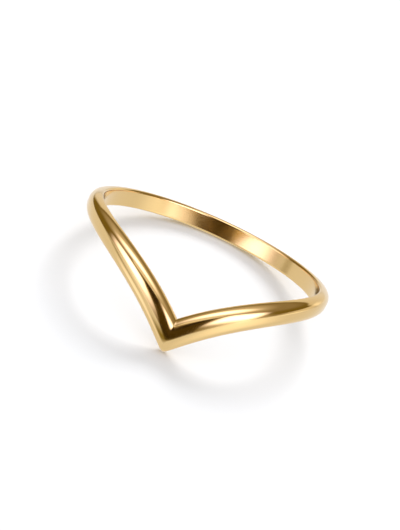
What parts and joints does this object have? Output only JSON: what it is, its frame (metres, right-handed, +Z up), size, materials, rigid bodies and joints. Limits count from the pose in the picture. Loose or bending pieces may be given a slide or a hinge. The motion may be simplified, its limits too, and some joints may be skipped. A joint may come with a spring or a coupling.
{
  "type": "chevron ring",
  "caption": "Plain polished finger ring, flat inside and domed outside, whose front is drawn down into a mitred point.",
  "frame": {"origin": "on the floor, under the middle of the ring as it rests by itself on its point and the lower edge of its back", "axes": "+Z up, +Y from the point towards the back of the band, +X to the right as the point faces the viewer"},
  "size_m": [0.0192, 0.02, 0.0053],
  "materials": {
    "gold": "polished"
  },
  "bodies": {
    "root": {"ring_band": "gold"}
  },
  "joints": []
}
